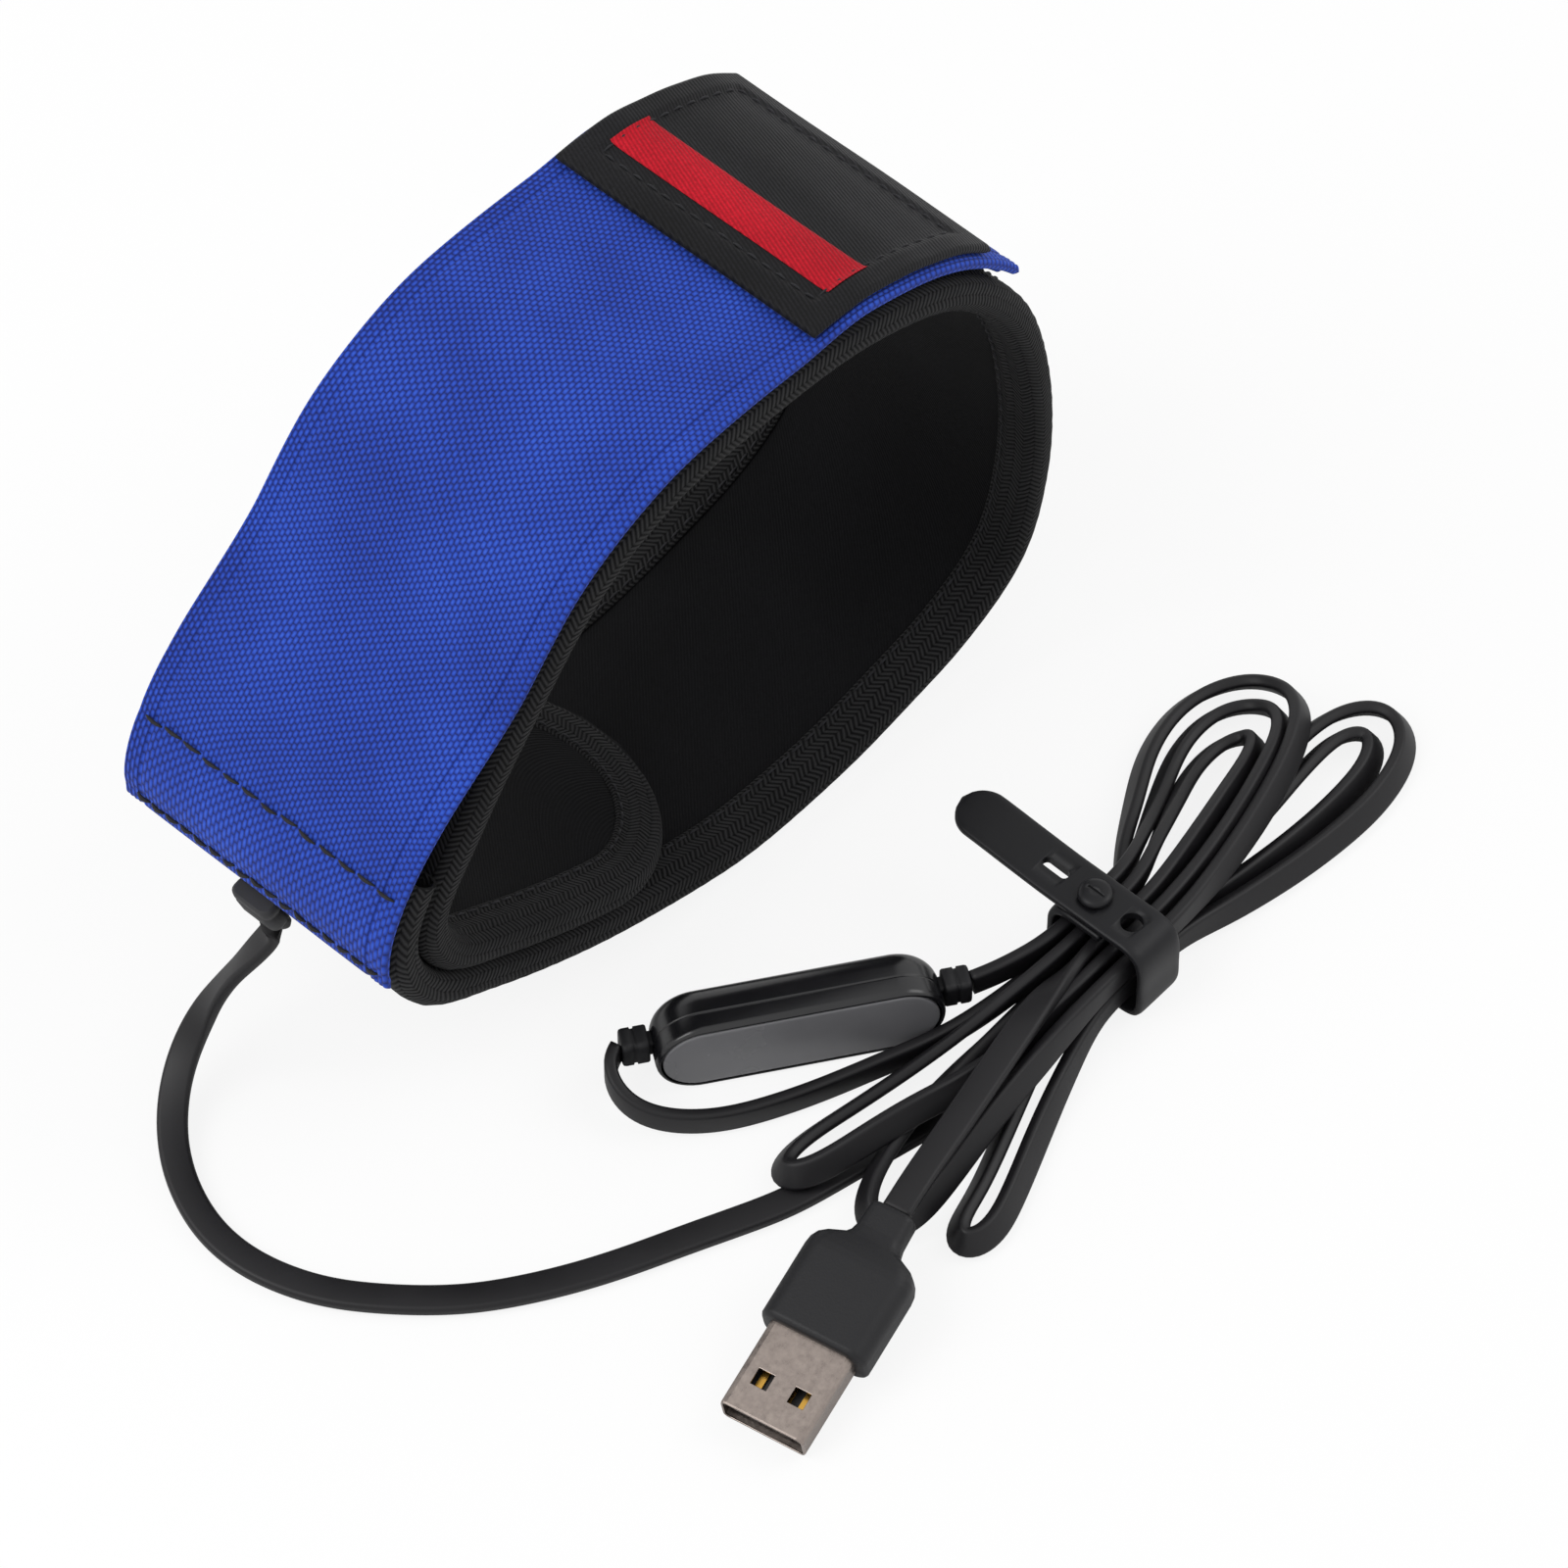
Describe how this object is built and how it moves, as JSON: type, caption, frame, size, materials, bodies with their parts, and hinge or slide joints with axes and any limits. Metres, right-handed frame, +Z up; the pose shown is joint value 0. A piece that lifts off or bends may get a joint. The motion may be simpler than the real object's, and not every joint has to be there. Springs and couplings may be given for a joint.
{
  "type": "dew heater strip",
  "caption": "Padded heating strip closed into a loop by an elastic strap, with a flat lead, in-line controller and plug, to keep dew off a lens barrel.",
  "frame": {"origin": "middle of the loop's footprint, on the surface it lies on", "axes": "+Z up, Y along the loop's axis with the near opening at -Y, X across the loop; the sewn end and the lead's exit are at -X"},
  "size_m": [0.1754, 0.1179, 0.1],
  "materials": {
    "black_webbing": "black zigzag woven tape",
    "foam": "dark soft foam",
    "heating_film": "amber film with a printed heating track",
    "lining": "black fine twill",
    "blue_elastic": "royal blue woven elastic",
    "hook_tape": "black hook tape",
    "label_black": "black woven label",
    "label_red": "red woven stripe",
    "thread": "black sewing thread",
    "lead_jacket": "matt black flat lead",
    "grommet": "matt black moulded grommet",
    "tie_rubber": "matt black silicone rubber",
    "controller_black": "satin black moulded shell",
    "controller_grey": "plain grey cover plate",
    "collar": "black moulded strain relief",
    "board_green": "green circuit board",
    "chip_black": "black chip package",
    "capacitor_tan": "tan ceramic capacitor",
    "plug_black": "fine-grained black overmould",
    "nickel_steel": "nickel-plated pressed steel",
    "insulator_black": "black moulded insulator",
    "contact_gold": "gold-plated contact"
  },
  "bodies": {
    "root": {"outer_cover": "black_webbing", "edge_binding": "black_webbing", "foam_pad": "foam", "heating_film": "heating_film", "lining": "lining", "elastic_strap": "blue_elastic", "hook_patch": "hook_tape", "woven_label": "label_black", "label_stripe": "label_red", "seam_lower": "thread", "seam_upper": "thread", "lead_from_strip": "lead_jacket", "lead_to_controller": "lead_jacket", "lead_from_controller": "lead_jacket", "lead_to_plug": "lead_jacket", "cord_hank": "lead_jacket", "cord_exit": "grommet", "cable_tie": "tie_rubber", "tie_stud": "tie_rubber", "controller_shell": "controller_black", "controller_cover": "controller_grey", "collar_left": "collar", "collar_right": "collar", "circuit_board": "board_green", "switching_chip": "chip_black", "filter_capacitor": "capacitor_tan", "plug_body": "plug_black", "plug_shell": "nickel_steel", "plug_insulator": "insulator_black", "plug_contact_1": "contact_gold", "plug_contact_2": "contact_gold", "plug_contact_3": "contact_gold", "plug_contact_4": "contact_gold"}
  },
  "joints": []
}
